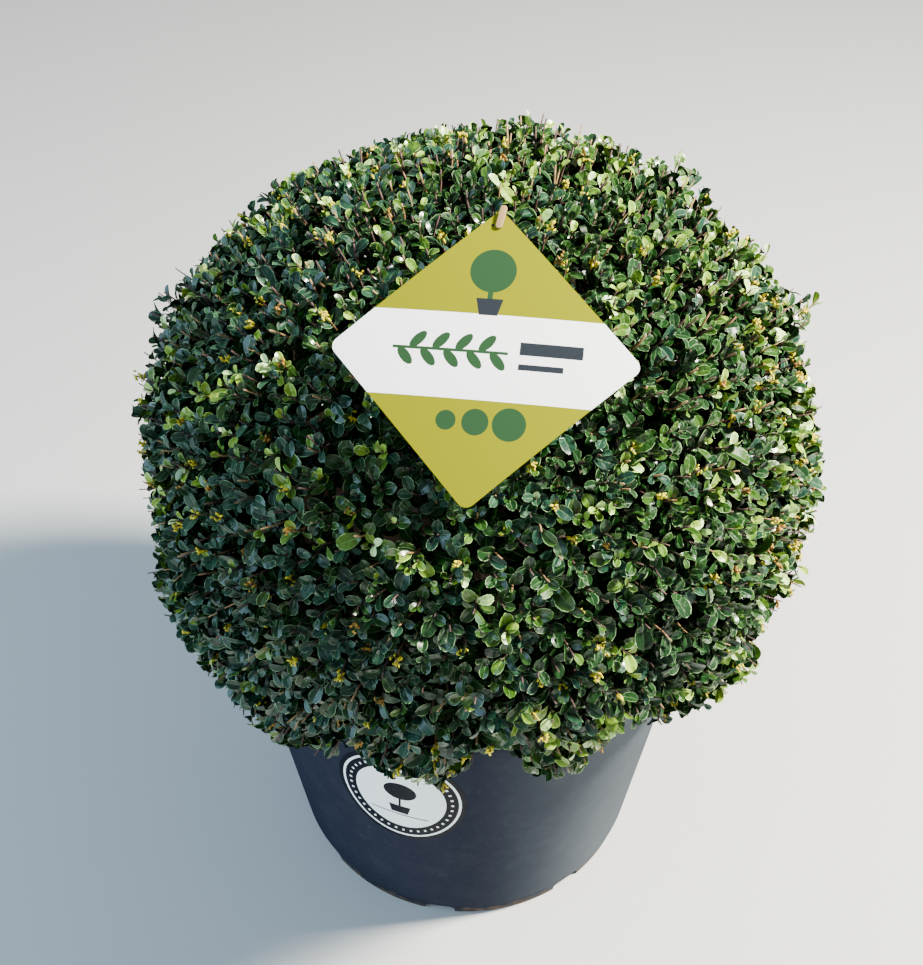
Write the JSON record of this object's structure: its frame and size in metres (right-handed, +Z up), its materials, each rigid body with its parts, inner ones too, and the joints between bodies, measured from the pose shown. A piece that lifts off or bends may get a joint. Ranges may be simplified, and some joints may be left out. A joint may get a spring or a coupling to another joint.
{
  "type": "japanese holly in a nursery pot",
  "caption": "Evergreen small-leaved shrub clipped to a ball, on a short stem in a round black nursery pot of soil, with a square hang tag on a peg.",
  "frame": {"origin": "centre of the pot's flat underside, on the surface that the pot stands on", "axes": "+Z up, -Y towards the front with the hang tag, +X to the right of the front view"},
  "size_m": [0.6893, 0.6938, 0.9514],
  "materials": {
    "pot_plastic": "satin black polythene, lightly scuffed",
    "potting_soil": "dark bark and peat crumbs",
    "bark": "grey-brown bark",
    "foliage": "glossy dark green leaves on brown twigs",
    "tag_card": "smooth printed plastic card",
    "peg_wood": "plain tan wood"
  },
  "bodies": {
    "root": {"pot": "pot_plastic", "soil": "potting_soil", "stem": "bark", "crown": "foliage", "tag": "tag_card", "tag_peg": "peg_wood"}
  },
  "joints": []
}
